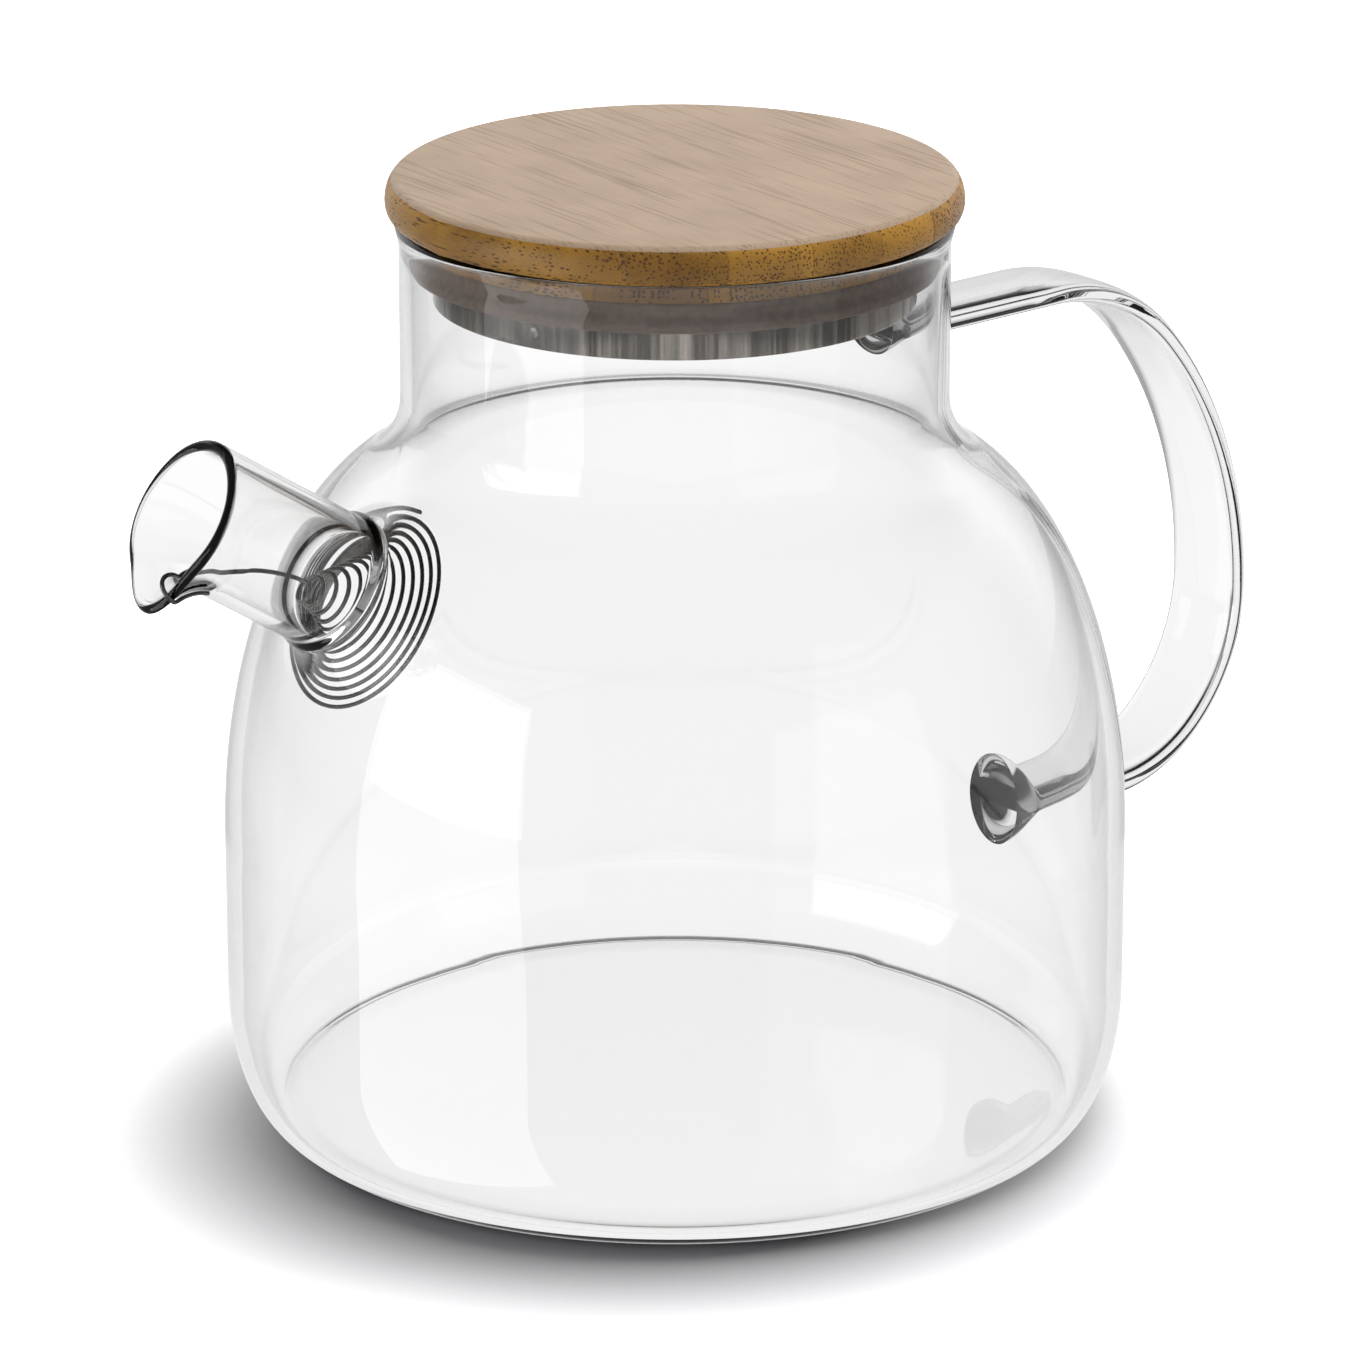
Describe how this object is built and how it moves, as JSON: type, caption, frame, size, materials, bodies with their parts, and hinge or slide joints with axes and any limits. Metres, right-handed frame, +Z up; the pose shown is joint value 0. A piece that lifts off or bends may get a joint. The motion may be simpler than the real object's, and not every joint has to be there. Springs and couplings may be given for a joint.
{
  "type": "glass teapot",
  "caption": "Clear glass teapot with a wide neck, a straight tube spout holding a coiled wire filter, a flat glass strap handle and a round bamboo lid with a seal.",
  "frame": {"origin": "centre of the flat base, on the table", "axes": "+Z up; +X from the pot's axis to the handle, so the spout points to -X, turned 6 degrees towards +Y; +Y completes a right-handed frame"},
  "size_m": [0.2122, 0.14, 0.149],
  "materials": {
    "pot_glass": "clear, fire-polished",
    "spout_glass": "clear, fire-polished",
    "handle_glass": "clear, fire-polished",
    "bamboo_face": "matt oiled bamboo, fine grain",
    "bamboo_strips": "satin oiled bamboo",
    "silicone": "matt translucent silicone",
    "brushed_band": "brushed",
    "pin_steel": "satin",
    "filter_wire": "bright drawn stainless wire"
  },
  "bodies": {
    "pot": {"glass_body": "pot_glass", "spout": "spout_glass", "handle": "handle_glass"},
    "lid": {"lid_face": "bamboo_face", "lid_strip_1": "bamboo_strips", "lid_strip_2": "bamboo_strips", "lid_strip_3": "bamboo_strips", "lid_strip_4": "bamboo_strips", "lid_strip_5": "bamboo_strips", "lid_strip_6": "bamboo_strips", "lid_strip_7": "bamboo_strips", "lid_seal": "silicone", "steel_band": "brushed_band", "band_pins": "pin_steel"},
    "filter": {"spout_filter": "filter_wire"}
  },
  "joints": [
    {"name": "lid_lift", "type": "slide", "parent": "pot", "child": "lid", "axis": [0, 0, 1], "range_m": [0, 0.03]},
    {"name": "filter_play", "type": "slide", "parent": "pot", "child": "filter", "axis": [0.8331, -0.0876, -0.5461], "range_m": [0, 0.001]}
  ]
}
